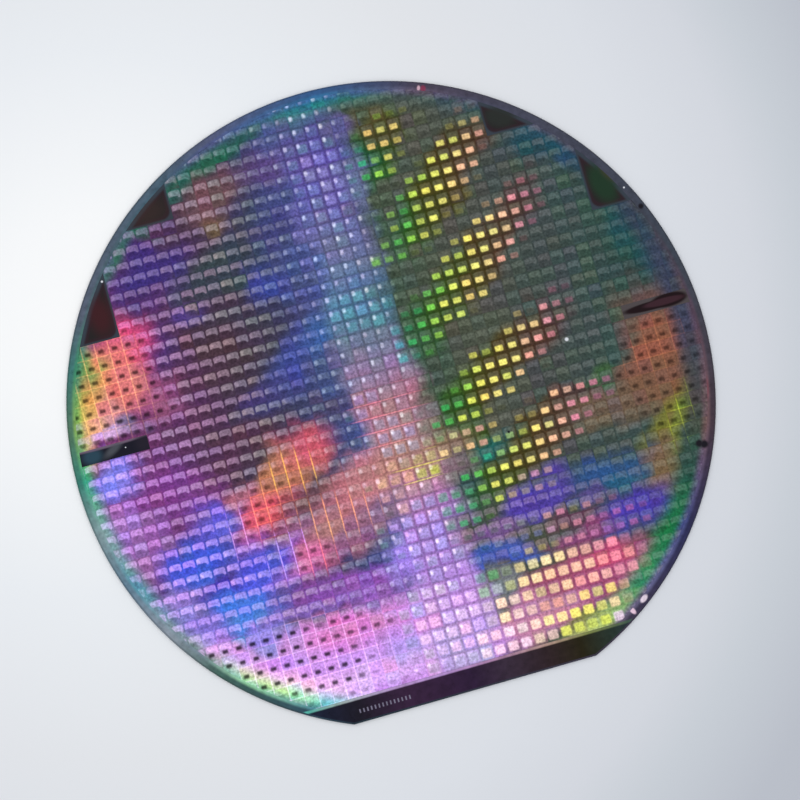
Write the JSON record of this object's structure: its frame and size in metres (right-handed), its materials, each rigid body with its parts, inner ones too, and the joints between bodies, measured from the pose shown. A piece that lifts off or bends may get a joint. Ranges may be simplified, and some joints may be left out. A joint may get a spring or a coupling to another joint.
{
  "type": "silicon wafer",
  "caption": "Patterned silicon wafer: a thin round disc with one straight edge flat, bevelled rim, and a grid of iridescent square dies on its front face.",
  "frame": {"origin": "centre of the round back face", "axes": "+Z is the front face's normal, +Y points away from the primary flat, +X runs along the flat"},
  "size_m": [0.15, 0.1443, 0.0007],
  "materials": {
    "device_film": "polished silicon under a thin patterned film with iridescent interference colours"
  },
  "bodies": {
    "root": {"wafer": "device_film"}
  },
  "joints": []
}
